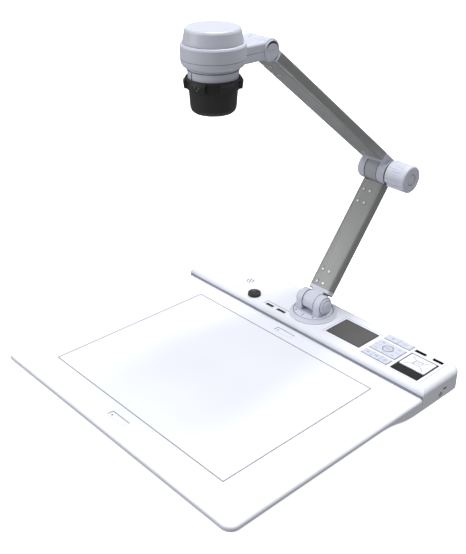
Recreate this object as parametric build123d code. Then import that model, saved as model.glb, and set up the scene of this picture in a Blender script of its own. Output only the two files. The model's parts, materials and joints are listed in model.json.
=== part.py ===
from build123d import *
import math
import os

# Document camera with a flat stage, built piece by piece. Millimetres, +Z up, +Y to the back.
# The origin is under the middle of the whole object, on the surface that it stands on.

# ---- base ----
BASE_W = 408.0            # left to right
BASE_FRONT = -232.0       # y of the stage's front edge, as far forward as the elbow knob reaches back
SEAM_Y = 66.5             # where the stage meets the rear housing
BASE_BACK = 144.0         # y of the rear housing's back wall
STAGE_TOP = 17.0
STAGE_T = 6.0             # rim height at the front
HOUSING_TOP = 28.0
FLOOR_Z = 1.0             # underside of the bottom cover
WALL = 3.0
SKIRT_START = -11.0       # the side skirt starts to deepen here
SKIRT_END = 58.0          # and is at full depth here
FRONT_CORNER_R = 12.0
BACK_CORNER_R = 14.0
HOUSING_EDGE_R = 7.0
PAGE_W = 300.0            # capture frame on the stage
PAGE_D = 231.0
PAGE_Y = -76.0            # its middle
PAN_INSET = 24.0          # the pan stands in from the stage's edge
GROOVE = 0.6
COVER_GAP = 0.2           # between nested covers

# ---- swivel and arms: everything lies in the plane x = 0 ----
SWIVEL_Y = 104.0
SWIVEL_RING_R = 31.4
TABLE_R = 25.6
INDEX_MARK = (0.5, 83.2)   # engraved in the turntable
HUB_R = 16.0
HINGE_Z = 45.4            # base hinge axis
FIT = 0.05                # radial clearance of a running fit
PIN_R = 4.0
LOWER_ANGLE = 52.3        # lower arm, up from the horizontal, leaning back
LOWER_LEN = 189.67        # base hinge to elbow, along the arm
LOWER_W = 33.6
LOWER_T = 14.4
LOWER_OFFSET = -4.72      # arm's middle below the base hinge axis
ELBOW_RISE = 6.18         # elbow axis above the base hinge axis, across the arm
UPPER_ANGLE = 141.1       # upper arm, from +Y through +Z
UPPER_LEN = 290.5         # elbow to head hinge, along the arm
UPPER_W = 40.6
UPPER_T = 12.2
UPPER_OFFSET = -11.0      # arm's middle outside the elbow axis
TUBE_WALL = 1.8
KNUCKLE_HALF = 9.4        # half width of a hinge's middle knuckle
EAR_GAP = 0.5
BASE_EAR_R = 12.4
BASE_EAR_OUT = 19.7
ELBOW_R = 16.0
ELBOW_EAR_OUT = 22.0
KNOB_START = 24.6
KNOB_END = 54.0
KNOB_R = 17.6
KNOB_EDGE_R = 2.4
KNOB_CAP_R = 6.6
KNOB_CAP_GAP = 0.8
KNOB_GROOVES = 30
KNOB_DIP_TURN = -15.0     # the finger dip, round from the upper arm's under face
LOWER_SCREW_X = (-7.7, 2.4)         # the two columns of screws on each arm
UPPER_SCREW_X = (-13.9, -3.2)
SCREW_HEAD_R = 2.1
SCREW_HEAD_H = 0.7
SCREW_R = 1.3

# ---- head ----
HEAD_Y = -67.5            # lens axis
YOKE_HALF = 18.0
HEAD_HINGE_R = 11.8
YOKE_H = 19.0
SPLIT_GAP = 0.2           # half of the joint line between the yoke's two shells
RING_R = 33.0
RING_TOP = 405.0
RING_BOTTOM = 382.0
SLEEVE_R = 28.5
NECK_R = 26.4
HEAD_TOP = 420.0
NECK_BOTTOM = 370.0
COLLAR_TOP = 371.5
COLLAR_BOTTOM = 360.0
COLLAR_R = 27.0
LOBE_R = 30.5
HOOD_BOTTOM = 335.8
HOOD_TOP_R = 25.1
HOOD_LOW_R = 23.3

# ---- control panel ----
BEZEL = (100.0, 190.0, 73.8, 135.0)       # raised key bezel: x, x, y, y
BEZEL_TOP = 28.8
KEY_TOP = 29.7
KEY_BOTTOM = 25.3
KEY_GAP = 0.35
PAD_X = (103.6, 141.5)                    # keypad, left to right
ROW_BACK = (121.8, 132.4)
ROW_MIDDLE = (92.8, 116.4)
ROW_FRONT = (77.0, 88.0)
ROUND_KEY_R = 6.0
NAV = (147.3, 185.5, 77.0, 120.0)         # black surround of the navigation pad
NAV_PAD = (148.4, 184.6, 91.6, 119.0)
NAV_KEY = (161.8, 171.2, 101.3, 109.3)
LCD = (41.2, 95.4, 82.0, 123.0)
TOP_SLOTS = ((146.3, 162.3), (172.3, 186.5))
TOP_SLOT_Y = (125.4, 130.6)
FRONT_SLOTS = ((-58.0, -45.0), (-38.0, -23.5))
FRONT_SLOT_Y = (73.0, 78.0)
DIAL = (-85.3, 79.5)
DIAL_R = 8.9
DIAL_H = 3.9
SPEAKER = (-117.5, 103.0)
SPEAKER_HOLE_R = 1.3
SPEAKER_HOLES_R = 4.5
REAR_SOCKETS = ((60.0, 15.0, 5.6), (96.0, 30.0, 11.0))   # x, width, height; each has a filled middle
REAR_SOCKET_Z = 13.4
JACK = (102.0, 7.0)       # y, z of the power inlet on the right wall
JACK_R = 3.6
LOCK = (110.0, 11.8)      # y, z of the lock slot beside it
LOCK_W = 6.6
LOCK_H = 3.2


def block(x0, x1, y0, y1, z0, z1):
    return Pos((x0 + x1) / 2, (y0 + y1) / 2, (z0 + z1) / 2) * Box(x1 - x0, y1 - y0, z1 - z0)


def pill(x0, x1, y0, y1, z0, z1, r):
    """A plate with rounded corners in plan."""
    plan = Pos((x0 + x1) / 2, (y0 + y1) / 2, z0) * RectangleRounded(x1 - x0, y1 - y0, r)
    return extrude(plan, z1 - z0)


def post(x, y, z0, z1, r):
    return Pos(x, y, (z0 + z1) / 2) * Cylinder(r, z1 - z0)


def shaft(x0, x1, y, z, r):
    """A cylinder along X."""
    return Pos((x0 + x1) / 2, y, z) * Rot(0, 90, 0) * Cylinder(r, x1 - x0)


def turned(points, y):
    """A solid turned about the vertical line at x = 0 and the given y, from (radius, z) points."""
    outline = Polyline(*[(r, 0, z) for r, z in points], close=True)
    return Pos(0, y, 0) * revolve(make_face(outline), Axis.Z)


def side_profile(z_shift, y_end):
    """The edges of the skirt's lower line, from the front to y_end, moved up by z_shift."""
    high = STAGE_TOP - STAGE_T + z_shift
    low = FLOOR_Z + z_shift
    middle = (0, (SKIRT_START + SKIRT_END) / 2, (high + low) / 2)
    start = (0, SKIRT_START, high)
    end = (0, SKIRT_END, low)
    first = Edge.make_tangent_arc(start, (0, 1, 0), middle)
    second = Edge.make_tangent_arc(end, (0, -1, 0), middle)
    return high, low, [Edge.make_line((0, BASE_FRONT - 1, high), start), first, second,
                       Edge.make_line(end, (0, y_end, low))]


def under_skirt(half_width, z_shift=0.0):
    """Everything below the skirt's lower line."""
    y_end = BASE_BACK + 1
    high, low, edges = side_profile(z_shift, y_end)
    edges.append(Edge.make_line((0, y_end, low), (0, y_end, -5)))
    edges.append(Edge.make_line((0, y_end, -5), (0, BASE_FRONT - 1, -5)))
    edges.append(Edge.make_line((0, BASE_FRONT - 1, -5), (0, BASE_FRONT - 1, high)))
    face = Face(Wire(edges))
    return extrude(face, half_width, dir=(1, 0, 0)) + extrude(face, half_width, dir=(-1, 0, 0))


def groove_frame(x0, x1, y0, y1, z, width, depth):
    """A thin rectangular channel, cut down from z."""
    outer = block(x0 - width / 2, x1 + width / 2, y0 - width / 2, y1 + width / 2, z - depth, z + 1)
    return outer - block(x0 + width / 2, x1 - width / 2, y0 + width / 2, y1 - width / 2, z - depth, z + 1)


def stage_screws():
    return [(sx * 150.0, y) for sx in (-1, 1) for y in (-180.0, 30.0)]


def housing_screws():
    return [(-150.0, 106.0), (20.0, 132.0), (196.0, 88.0)]


def stage_plate():
    half = BASE_W / 2
    end = SEAM_Y - GROOVE
    plan = Pos(0, (BASE_FRONT + end) / 2, FLOOR_Z) * Rectangle(BASE_W, end - BASE_FRONT)
    body = extrude(plan, STAGE_TOP - FLOOR_Z)
    front_corners = body.edges().filter_by(Axis.Z).group_by(Axis.Y)[0]
    body = fillet(front_corners, FRONT_CORNER_R)
    body = fillet(body.faces().sort_by(Axis.Z)[-1].edges().filter_by(lambda e: e.center().Y < end - 1), 3.2)
    body -= under_skirt(half + 1)
    inner = Pos(0, (BASE_FRONT + WALL + end) / 2, 0) * RectangleRounded(
        BASE_W - 2 * WALL, end - BASE_FRONT - WALL, FRONT_CORNER_R - WALL)
    body -= extrude(inner, STAGE_TOP - WALL)
    body -= block(-half + WALL, half - WALL, end - FRONT_CORNER_R - 5, end + 1, -1, STAGE_TOP - WALL)
    for x, y in stage_screws():
        body += post(x, y, FLOOR_Z + 2.2, STAGE_TOP - WALL, 4.0) - post(x, y, 0, 10.0, 1.5)
    page = (PAGE_Y - PAGE_D / 2, PAGE_Y + PAGE_D / 2)
    body -= groove_frame(-PAGE_W / 2, PAGE_W / 2, *page, STAGE_TOP, GROOVE, 0.35)
    for y in (-209.0, 52.5):
        body -= pill(-18.0, 13.0, y - 5.0, y + 5.0, STAGE_TOP - 0.4, STAGE_TOP + 1, 1.5)
        body += pill(-16.5, 11.5, y - 4.2, y + 3.0, STAGE_TOP - 0.5, STAGE_TOP - 0.05, 1.0)
        body -= post(-12.5, y - 0.5, STAGE_TOP - 0.6, STAGE_TOP + 1, 1.1)
    return body


def bottom_cover():
    half = BASE_W / 2 - WALL - COVER_GAP
    front = BASE_FRONT + WALL + COVER_GAP
    back = BASE_BACK - WALL - COVER_GAP
    plan = Pos(0, (front + back) / 2, FLOOR_Z) * RectangleRounded(2 * half, back - front, BACK_CORNER_R - WALL)
    slab = extrude(plan, STAGE_TOP - FLOOR_Z)
    flange = (slab & under_skirt(half + 1, 2.0)) - under_skirt(half + 1)
    pan_x = half - PAN_INSET
    pan_front = front + PAN_INSET
    pan = pill(-pan_x, pan_x, pan_front, SKIRT_END + 20, FLOOR_Z, STAGE_TOP, 10) & under_skirt(half + 1, 2.0)
    hollow = pill(-pan_x + 2, pan_x - 2, pan_front + 2, SKIRT_END + 18, FLOOR_Z + 2, STAGE_TOP, 8)
    body = flange + pan - hollow
    for x, y in stage_screws() + housing_screws():
        body -= post(x, y, 0, FLOOR_Z + 4, 1.7)
        body -= post(x, y, 0, FLOOR_Z + 1.2, 3.2)
    for x in (-170.0, 170.0):
        for y in (78.0, 130.0):
            body += post(x, y, FLOOR_Z + 1, FLOOR_Z + 5, 2.5)
    return body


def rear_housing():
    half = BASE_W / 2
    plan = Pos(0, (SEAM_Y + BASE_BACK) / 2, FLOOR_Z) * Rectangle(BASE_W, BASE_BACK - SEAM_Y)
    body = extrude(plan, HOUSING_TOP - FLOOR_Z)
    body = fillet(body.edges().filter_by(Axis.Z).group_by(Axis.Y)[-1], BACK_CORNER_R)
    body = fillet(body.faces().sort_by(Axis.Z)[-1].edges(), HOUSING_EDGE_R)
    body -= pill(-half + WALL, half - WALL, SEAM_Y + WALL, BASE_BACK - WALL, 0, HOUSING_TOP - 6, BACK_CORNER_R - WALL)
    body -= pill(-half + 7, half - 7, SEAM_Y + 7, BASE_BACK - 7, 0, HOUSING_TOP - WALL, 4)
    body -= block(-half + WALL, half - WALL, SEAM_Y - 1, SEAM_Y + 30, 0, FLOOR_Z + 2.3)
    for x, y in housing_screws():
        body += post(x, y, FLOOR_Z + 2.2, HOUSING_TOP - WALL + 0.5, 4.0) - post(x, y, 0, 10.0, 1.5)
    for x, y in ((101.8, 75.8), (188.2, 75.8), (101.8, 133.0), (188.2, 133.0)):
        body += post(x, y, 24.1, HOUSING_TOP - WALL + 0.5, 1.6)
    body -= post(0, SWIVEL_Y, HOUSING_TOP - 5, HOUSING_TOP + 1, HUB_R + 1)
    body -= block(*LCD, 20, 40)
    body -= groove_frame(LCD[0] - 3, LCD[1] + 2.6, LCD[2] - 2, LCD[3] + 3, HOUSING_TOP, 0.5, 0.3)
    body -= block(PAD_X[0] - 0.5, PAD_X[1] + 0.5, ROW_FRONT[0] - 0.5, ROW_FRONT[1] + 0.5, 20, 40)
    body -= block(PAD_X[0] - 0.5, PAD_X[1] + 0.5, ROW_MIDDLE[0] - 0.5, ROW_MIDDLE[1] + 0.5, 20, 40)
    body -= block(PAD_X[0] - 0.5, PAD_X[1] + 0.5, ROW_BACK[0] - 0.5, ROW_BACK[1] + 0.5, 20, 40)
    body -= block(*NAV_PAD, 20, 40)
    for x0, x1 in TOP_SLOTS:
        body -= block(x0, x1, *TOP_SLOT_Y, 20, 40)
    for x0, x1 in FRONT_SLOTS:
        body -= block(x0, x1, *FRONT_SLOT_Y, 20, 40)
    body -= post(*DIAL, 20, 40, 3.3)
    for turn in range(6):
        angle = math.radians(60 * turn)
        x, y = SPEAKER[0] + SPEAKER_HOLES_R * math.cos(angle), SPEAKER[1] + SPEAKER_HOLES_R * math.sin(angle)
        body -= post(x, y, 20, 40, SPEAKER_HOLE_R)
    body -= post(*SPEAKER, 20, 40, SPEAKER_HOLE_R)
    body -= post(SPEAKER[0], 77.5, 20, 40, 0.7)
    body -= block(-61.5, -61.0, 73.0, 82.0, HOUSING_TOP - 0.4, 40)
    body -= block(-61.5, -22.0, 81.5, 82.0, HOUSING_TOP - 0.4, 40)
    body -= shaft(half - WALL - 1, half + 1, *JACK, JACK_R)
    body -= block(half - WALL - 1, half + 1, LOCK[0] - LOCK_W / 2, LOCK[0] + LOCK_W / 2,
                  LOCK[1] - LOCK_H / 2, LOCK[1] + LOCK_H / 2)
    for x, width, height in REAR_SOCKETS:
        body -= block(x - width / 2, x + width / 2, BASE_BACK - WALL - 1, BASE_BACK + 1,
                      REAR_SOCKET_Z - height / 2, REAR_SOCKET_Z + height / 2)
    return body


def ballast_plate():
    return pill(-145, 145, -170, 15, FLOOR_Z + 2, FLOOR_Z + 4, 6) + pill(-60, 60, -195, 40, FLOOR_Z + 2, FLOOR_Z + 4, 6)


def rubber_feet():
    spots = [(-160, -190), (160, -190), (-185, 125), (185, 125)]
    return Compound(children=[post(x, y, 0, FLOOR_Z, 8.0) for x, y in spots])


def case_screws():
    screws = []
    for x, y in stage_screws() + housing_screws():
        head = post(x, y, FLOOR_Z + 0.1, FLOOR_Z + 1.2, 3.0) - post(x, y, 0, FLOOR_Z + 0.7, 1.1)
        screws.append(head + post(x, y, FLOOR_Z + 1.2, 9.8, 1.5))
    return Compound(children=screws)


def main_board():
    board = block(-176, 176, 74, 136, FLOOR_Z + 5, FLOOR_Z + 6.6)
    for x, y in housing_screws():
        board -= post(x, y, 0, 20, 4.4)
    for x, y, w, d, h in ((-60, 100, 24, 24, 2.4), (0, 96, 14, 18, 1.6), (-110, 90, 16, 10, 5.0)):
        board += block(x - w / 2, x + w / 2, y - d / 2, y + d / 2, FLOOR_Z + 6.6, FLOOR_Z + 6.6 + h)
    return board


def key_board():
    board = block(100, 190, 74.0, 134.8, 22.6, 24.1)
    for x0, x1 in TOP_SLOTS:
        board -= block(x0 - 0.4, x1 + 0.4, TOP_SLOT_Y[0] - 0.4, TOP_SLOT_Y[1] + 0.4, 20, 30)
    return board


def lcd_panel():
    return block(LCD[0] - 1.5, LCD[1] + 1.5, LCD[2] - 1.5, LCD[3] + 1.5, 21.5, HOUSING_TOP - WALL)


def lcd_window():
    glass = pill(LCD[0] + 0.1, LCD[1] - 0.1, LCD[2] + 0.1, LCD[3] - 0.1, HOUSING_TOP - WALL, HOUSING_TOP + 0.2, 0.8)
    return chamfer(glass.faces().sort_by(Axis.Z)[-1].edges(), 0.15)


def key_bezel():
    plate = pill(*BEZEL, HOUSING_TOP, BEZEL_TOP, 4)
    plate = fillet(plate.faces().sort_by(Axis.Z)[-1].edges(), 0.5)
    for row in (ROW_FRONT, ROW_MIDDLE, ROW_BACK):
        plate -= pill(PAD_X[0] - 0.2, PAD_X[1] + 0.2, row[0] - 0.2, row[1] + 0.2, 20, 40, 1.0)
    plate -= block(*NAV, 20, 40)
    for x0, x1 in TOP_SLOTS:
        plate -= block(x0, x1, *TOP_SLOT_Y, 20, 40)
    return plate


def nav_surround():
    frame = block(*NAV, HOUSING_TOP, BEZEL_TOP + 0.2)
    return frame - pill(NAV_PAD[0] - 0.3, NAV_PAD[1] + 0.3, NAV_PAD[2] - 0.3, NAV_PAD[3] + 0.3, 20, 40, 1.2)


def socket(x0, x1, y0, y1, z0, z1, tongue):
    """An open-topped metal shell with a plastic tongue's room inside."""
    shell = block(x0, x1, y0, y1, z0, z1)
    shell -= block(x0 + 0.5, x1 - 0.5, y0 + 0.5, y1 - 0.5, z0 + 0.5, z1 + 1)
    middle = (y0 + y1) / 2
    return shell + block(x0 + tongue, x1 - tongue, middle - 0.5, middle + 0.5, z0 + 0.5, z1 - 1)


def front_ports():
    return Compound(children=[socket(x0, x1, *FRONT_SLOT_Y, 15.0, HOUSING_TOP - 0.3, 2.0) for x0, x1 in FRONT_SLOTS])


def top_ports():
    return Compound(children=[socket(x0, x1, *TOP_SLOT_Y, 15.0, BEZEL_TOP - 0.3, 3.0) for x0, x1 in TOP_SLOTS])


def rear_ports():
    ports = []
    for x, width, height in REAR_SOCKETS:
        shell = block(x - width / 2, x + width / 2, BASE_BACK - 14, BASE_BACK - 0.4,
                      REAR_SOCKET_Z - height / 2, REAR_SOCKET_Z + height / 2)
        shell -= block(x - width / 2 + 0.7, x + width / 2 - 0.7, BASE_BACK - 9, BASE_BACK + 1,
                       REAR_SOCKET_Z - height / 2 + 0.7, REAR_SOCKET_Z + height / 2 - 0.7)
        shell += block(x - width / 2 + 2.0, x + width / 2 - 2.0, BASE_BACK - 10, BASE_BACK - 1.6,
                       REAR_SOCKET_Z - height / 2 + 2.2, REAR_SOCKET_Z + height / 2 - 2.2)
        ports.append(shell)
    return Compound(children=ports)


def dc_jack():
    half = BASE_W / 2
    body = shaft(half - 14, half - 0.5, *JACK, JACK_R) - shaft(half - 10, half + 1, *JACK, JACK_R - 0.9)
    return body + shaft(half - 11, half - 0.8, *JACK, 2.4)


def lock_plate():
    """The steel pocket behind the lock slot."""
    wall = BASE_W / 2 - WALL
    plate = block(wall - 5, wall, LOCK[0] - 4.3, LOCK[0] + 4.3, LOCK[1] - 3.4, LOCK[1] + 3.4)
    return plate - block(wall - 4, wall + 1, LOCK[0] - LOCK_W / 2, LOCK[0] + LOCK_W / 2,
                         LOCK[1] - LOCK_H / 2, LOCK[1] + LOCK_H / 2)


def speaker():
    body = post(*SPEAKER, 19.0, 22.0, 9.0) + post(*SPEAKER, 22.0, HOUSING_TOP - WALL, 12.0)
    return body - post(*SPEAKER, 23.0, 30.0, 9.5)


def swivel_ring():
    top = HOUSING_TOP + 4.6
    points = [(TABLE_R + 0.35, HOUSING_TOP), (SWIVEL_RING_R, HOUSING_TOP), (SWIVEL_RING_R, HOUSING_TOP + 1.4),
              (SWIVEL_RING_R - 1.6, HOUSING_TOP + 2.6), (TABLE_R + 2.6, top), (TABLE_R + 0.35, top)]
    return turned(points, SWIVEL_Y)


def swivel_bearing():
    low = HOUSING_TOP - 5
    points = [(HUB_R + FIT, low), (HUB_R + 1, low), (HUB_R + 1, HOUSING_TOP), (HUB_R + 6, HOUSING_TOP),
              (HUB_R + 6, HOUSING_TOP + 1), (HUB_R + FIT, HOUSING_TOP + 1)]
    return turned(points, SWIVEL_Y)


def turntable():
    top = HOUSING_TOP + 5.0
    disc = post(0, SWIVEL_Y, HOUSING_TOP + 1.05, top, TABLE_R)
    disc = fillet(disc.faces().sort_by(Axis.Z)[-1].edges(), 0.8)
    disc += post(0, SWIVEL_Y, HOUSING_TOP - 5.2, HOUSING_TOP + 2, HUB_R)
    disc -= post(0, SWIVEL_Y, HOUSING_TOP - 6, HOUSING_TOP + 1, HUB_R - 4)
    inner = KNUCKLE_HALF + EAR_GAP
    for side in (-1, 1):
        x0, x1 = sorted((side * inner, side * BASE_EAR_OUT))
        ear = shaft(x0, x1, SWIVEL_Y, HINGE_Z, BASE_EAR_R)
        ear += block(x0, x1, SWIVEL_Y - BASE_EAR_R, SWIVEL_Y + BASE_EAR_R, top - 0.5, HINGE_Z)
        outer_edges = ear.edges().filter_by(GeomType.CIRCLE).filter_by(
            lambda e, out=side * BASE_EAR_OUT: abs(e.center().X - out) < 0.1)
        disc += fillet(outer_edges, 1.2)
    disc -= shaft(-30, 30, SWIVEL_Y, HINGE_Z, PIN_R)
    for x in (-14.5, 14.5):
        disc -= post(x, SWIVEL_Y - 17.5, top - 0.8, top + 1, 1.2)
    x, y = INDEX_MARK
    disc -= block(x - 0.4, x + 0.4, y - 1.9, y + 1.9, top - 0.3, top + 1)
    for end in (y - 1.9, y + 1.9):
        disc -= block(x - 1.2, x + 1.2, end - 0.35, end + 0.35, top - 0.3, top + 1)
    return disc


def swivel_retainer():
    low = HOUSING_TOP - 7.2
    plate = post(0, SWIVEL_Y, low, HOUSING_TOP - 5.2, HUB_R + 5) - post(0, SWIVEL_Y, low - 1, HOUSING_TOP, HUB_R - 4)
    for turn in range(3):
        angle = math.radians(120 * turn)
        plate += post(14 * math.cos(angle), SWIVEL_Y + 14 * math.sin(angle), low - 1.4, low + 0.5, 1.8)
    return plate


def base_hinge_pin():
    return shaft(-BASE_EAR_OUT + 0.2, BASE_EAR_OUT - 0.2, SWIVEL_Y, HINGE_Z, PIN_R)


def base_hinge_caps():
    out = BASE_EAR_OUT
    right = shaft(out, out + 2, SWIVEL_Y, HINGE_Z, 10.4)
    right = fillet(right.faces().sort_by(Axis.X)[-1].edges(), 0.8)
    boss = shaft(out + 1, out + 3.6, SWIVEL_Y, HINGE_Z, 6.0)
    right += fillet(boss.faces().sort_by(Axis.X)[-1].edges(), 0.8)
    left = shaft(-out - 2, -out, SWIVEL_Y, HINGE_Z, 10.4)
    return Compound(children=[right, fillet(left.faces().sort_by(Axis.X)[0].edges(), 0.8)])


def lower_frame():
    """Across the arm, along it from the base hinge, and out of its front face."""
    return Pos(0, SWIVEL_Y, HINGE_Z) * Rot(LOWER_ANGLE, 0, 0)


def upper_frame():
    """Across the arm, along it from the elbow, and out of its under face."""
    y, z = elbow_axis()
    return Pos(0, y, z) * Rot(UPPER_ANGLE, 0, 0)


def elbow_axis():
    a = math.radians(LOWER_ANGLE)
    return (SWIVEL_Y + LOWER_LEN * math.cos(a) - ELBOW_RISE * math.sin(a),
            HINGE_Z + LOWER_LEN * math.sin(a) + ELBOW_RISE * math.cos(a))


def head_axis():
    y, z = elbow_axis()
    a = math.radians(UPPER_ANGLE)
    return (y + UPPER_LEN * math.cos(a) - UPPER_OFFSET * math.sin(a),
            z + UPPER_LEN * math.sin(a) + UPPER_OFFSET * math.cos(a))


def arm_tube(width, thick, y0, y1, offset):
    """A hollow flat extrusion with rounded edges and a fine groove along each side of its faces."""
    outer = RectangleRounded(width, thick, 3.0)
    inner = RectangleRounded(width - 2 * TUBE_WALL, thick - 2 * TUBE_WALL, 1.4)
    tube = extrude(outer - inner, y1 - y0)
    for x in (-width / 2 + 4.2, width / 2 - 4.2):
        for side in (-1, 1):
            tube -= Pos(x, side * thick / 2, (y1 - y0) / 2) * Box(0.8, 0.6, y1 - y0 + 2)
    return Pos(0, y0, offset) * Rot(-90, 0, 0) * tube


def end_block(width, thick, y0, y1, offset):
    """A plain bar along an arm."""
    return Pos(0, (y0 + y1) / 2, offset) * Box(width, y1 - y0, thick)


def tenon(width, thick, y0, y1, offset):
    """The part of an end piece that stands inside the tube."""
    inside = 2 * TUBE_WALL + 0.4
    piece = end_block(width - inside, thick - inside, y0, y1, offset)
    return fillet(piece.edges().filter_by(Axis.Y), 1.6)


def rounded_end(width, thick, y0, y1, offset):
    """The part of an end piece that carries on the tube's outline."""
    piece = end_block(width, thick, y0, y1, offset)
    return fillet(piece.edges().filter_by(Axis.Y), 3.0)


LOWER_TUBE = (19.5, 176.4)
LOWER_ROWS = (25.5, 42.6, 142.5, 159.4)
UPPER_TUBE = (28.0, UPPER_LEN - 12.8)
UPPER_ROWS = (22.0, 40.0, UPPER_LEN - 49.8, UPPER_LEN - 32.0)


def lower_arm_tube():
    tube = arm_tube(LOWER_W, LOWER_T, *LOWER_TUBE, LOWER_OFFSET)
    tube -= shaft(-LOWER_W, LOWER_W, LOWER_LEN, ELBOW_RISE, ELBOW_R + EAR_GAP)
    for x in LOWER_SCREW_X:
        for y in LOWER_ROWS:
            tube -= Pos(x, y, LOWER_OFFSET + LOWER_T / 2) * Cylinder(1.5, 2 * TUBE_WALL + 1)
    return lower_frame() * tube


def lower_arm_root():
    low, high = LOWER_TUBE[0] - 4.4, LOWER_TUBE[0]
    piece = rounded_end(LOWER_W, LOWER_T, low, high, LOWER_OFFSET)
    piece += tenon(LOWER_W, LOWER_T, high - 1, high + 32, LOWER_OFFSET)
    piece += Pos(0, low / 2, LOWER_OFFSET) * Box(2 * KNUCKLE_HALF, low + 0.4, LOWER_T)
    piece += shaft(-KNUCKLE_HALF, KNUCKLE_HALF, 0, 0, BASE_EAR_R - 0.5)
    piece -= shaft(-30, 30, 0, 0, PIN_R + FIT)
    for x in LOWER_SCREW_X:
        for y in LOWER_ROWS[:2]:
            piece -= Pos(x, y, LOWER_OFFSET + LOWER_T / 2 - 2) * Cylinder(SCREW_R, 9)
    return lower_frame() * piece


def lower_arm_knuckle():
    end = LOWER_TUBE[1]
    piece = tenon(LOWER_W, LOWER_T, end - 38, end, LOWER_OFFSET)
    for side in (-1, 1):
        x0, x1 = sorted((side * KNUCKLE_HALF, side * LOWER_W))
        piece -= shaft(x0, x1, LOWER_LEN, ELBOW_RISE, ELBOW_R + EAR_GAP)
    piece += Pos(0, (end + LOWER_LEN) / 2, LOWER_OFFSET) * Box(2 * KNUCKLE_HALF, LOWER_LEN - end, LOWER_T)
    piece += shaft(-KNUCKLE_HALF, KNUCKLE_HALF, LOWER_LEN, ELBOW_RISE, ELBOW_R - 0.4)
    piece -= shaft(-30, 30, LOWER_LEN, ELBOW_RISE, PIN_R + FIT)
    for x in LOWER_SCREW_X:
        for y in LOWER_ROWS[2:]:
            piece -= Pos(x, y, LOWER_OFFSET + LOWER_T / 2 - 2) * Cylinder(SCREW_R, 9)
    return lower_frame() * piece


def arm_screws(frame, columns, rows, face):
    """Round-headed screws that stand just proud of the arm's face."""
    screws = []
    for x in columns:
        for y in rows:
            head = Pos(x, y, face + SCREW_HEAD_H / 2) * Cylinder(SCREW_HEAD_R, SCREW_HEAD_H)
            head = fillet(head.faces().sort_by(Axis.Z)[-1].edges(), 0.4)
            screw = head + Pos(x, y, face - 2.4) * Cylinder(SCREW_R, 4.9)
            screw -= Pos(x, y, face + SCREW_HEAD_H) * Box(0.6, SCREW_HEAD_R + 0.4, 0.6)
            screws.append(frame * screw)
    return Compound(children=screws)


def lower_arm_screws():
    return arm_screws(lower_frame(), LOWER_SCREW_X, LOWER_ROWS, LOWER_OFFSET + LOWER_T / 2)


def upper_arm_screws():
    return arm_screws(upper_frame(), UPPER_SCREW_X, UPPER_ROWS, UPPER_OFFSET + UPPER_T / 2)


def elbow_fork():
    high = UPPER_TUBE[0]
    ear_in = KNUCKLE_HALF + EAR_GAP
    piece = rounded_end(UPPER_W, UPPER_T, 4.0, high, UPPER_OFFSET)
    piece += tenon(UPPER_W, UPPER_T, high - 1, high + 32, UPPER_OFFSET)
    for side in (-1, 1):
        x0, x1 = sorted((side * ear_in, side * ELBOW_EAR_OUT))
        ear = shaft(x0, x1, 0, 0, ELBOW_R)
        rim = ear.faces().sort_by(Axis.X)[-1 if side > 0 else 0].edges()
        piece += fillet(rim, 1.0 if side > 0 else 3.5)
    piece -= shaft(-ear_in, ear_in, 0, 0, ELBOW_R + 0.4)
    piece -= shaft(-30, 30, 0, 0, PIN_R)
    for x in UPPER_SCREW_X:
        for y in UPPER_ROWS[:2]:
            piece -= Pos(x, y, UPPER_OFFSET + UPPER_T / 2 - 2) * Cylinder(SCREW_R, 9)
    return upper_frame() * piece


def elbow_pin():
    pin = shaft(-ELBOW_EAR_OUT + 1, KNOB_END - 8, 0, 0, PIN_R)
    pin += shaft(ELBOW_EAR_OUT, KNOB_START - 0.3, 0, 0, 13.2)
    return upper_frame() * pin


def elbow_cap():
    cap = shaft(-ELBOW_EAR_OUT - 1.6, -ELBOW_EAR_OUT, 0, 0, 9.5)
    return upper_frame() * fillet(cap.faces().sort_by(Axis.X)[0].edges(), 1.0)


def upper_arm_tube():
    tube = arm_tube(UPPER_W, UPPER_T, *UPPER_TUBE, UPPER_OFFSET)
    for x in UPPER_SCREW_X:
        for y in UPPER_ROWS:
            tube -= Pos(x, y, UPPER_OFFSET + UPPER_T / 2) * Cylinder(1.5, 2 * TUBE_WALL + 1)
    return upper_frame() * tube


def upper_arm_tip():
    high = UPPER_TUBE[1]
    half = KNUCKLE_HALF - 0.4
    piece = rounded_end(UPPER_W, UPPER_T, high, UPPER_LEN - 2, UPPER_OFFSET)
    piece += tenon(UPPER_W, UPPER_T, high - 44, high + 1, UPPER_OFFSET)
    piece += shaft(-half, half, UPPER_LEN, UPPER_OFFSET, HEAD_HINGE_R - 0.3)
    for side in (-1, 1):
        x0, x1 = sorted((side * half, side * 30))
        piece -= shaft(x0, x1, UPPER_LEN, UPPER_OFFSET, HEAD_HINGE_R + 0.6)
    piece -= shaft(-30, 30, UPPER_LEN, UPPER_OFFSET, PIN_R - 1 + FIT)
    for x in UPPER_SCREW_X:
        for y in UPPER_ROWS[2:]:
            piece -= Pos(x, y, UPPER_OFFSET + UPPER_T / 2 - 2) * Cylinder(SCREW_R, 9)
    return upper_frame() * piece


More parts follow.
